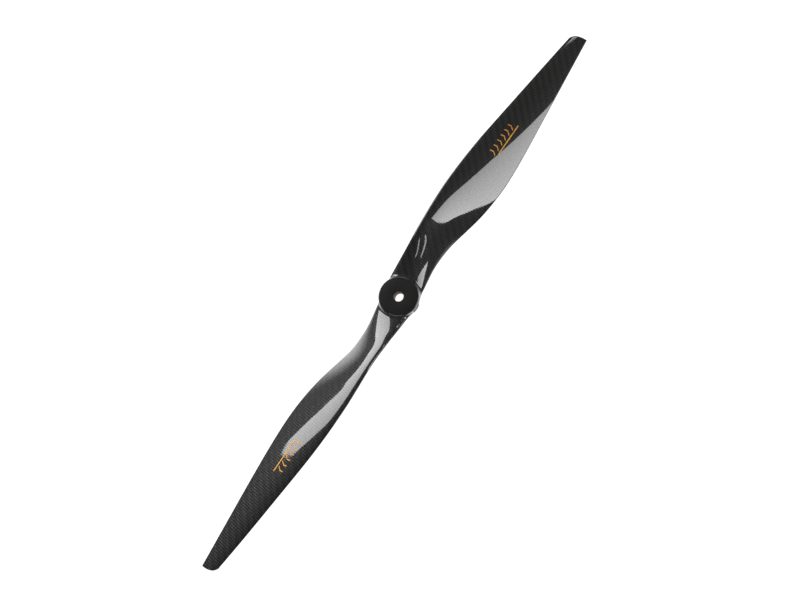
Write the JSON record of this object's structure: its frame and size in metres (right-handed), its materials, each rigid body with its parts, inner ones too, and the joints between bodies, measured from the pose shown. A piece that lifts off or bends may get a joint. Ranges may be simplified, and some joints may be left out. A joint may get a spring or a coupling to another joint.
{
  "type": "model aircraft propeller",
  "caption": "Two-blade fixed-pitch carbon-fibre propeller with swept-back tips, a flat round hub and a plain through bore.",
  "frame": {"origin": "on the bore axis, in the plane of the hub's back face", "axes": "+Z along the bore towards the front (the convex side of the blades), +X along blade 1, +Y towards the leading edge of blade 1"},
  "size_m": [0.508, 0.038, 0.0237],
  "materials": {
    "carbon_skin": "glossy clear coat over carbon twill",
    "hub_core": "machined matte laminate",
    "carbon_tow": "cured unidirectional carbon",
    "foam_core": "fine closed-cell foam",
    "filler": "filled epoxy",
    "gold_film": "gold printed film under the clear coat"
  },
  "bodies": {
    "root": {"front_skin": "carbon_skin", "back_skin": "carbon_skin", "hub_core": "hub_core", "blade_1_root_block": "filler", "blade_2_root_block": "filler", "blade_1_front_spar_cap": "carbon_tow", "blade_2_front_spar_cap": "carbon_tow", "blade_1_back_spar_cap": "carbon_tow", "blade_2_back_spar_cap": "carbon_tow", "blade_1_shear_web": "carbon_tow", "blade_2_shear_web": "carbon_tow", "blade_1_nose_core": "foam_core", "blade_2_nose_core": "foam_core", "blade_1_tail_core": "foam_core", "blade_2_tail_core": "foam_core", "blade_1_nose_tow": "carbon_tow", "blade_2_nose_tow": "carbon_tow", "blade_1_trailing_strip": "carbon_tow", "blade_2_trailing_strip": "carbon_tow", "blade_1_tip_filler": "filler", "blade_2_tip_filler": "filler", "blade_1_emblem": "gold_film", "blade_2_emblem": "gold_film"}
  },
  "joints": []
}
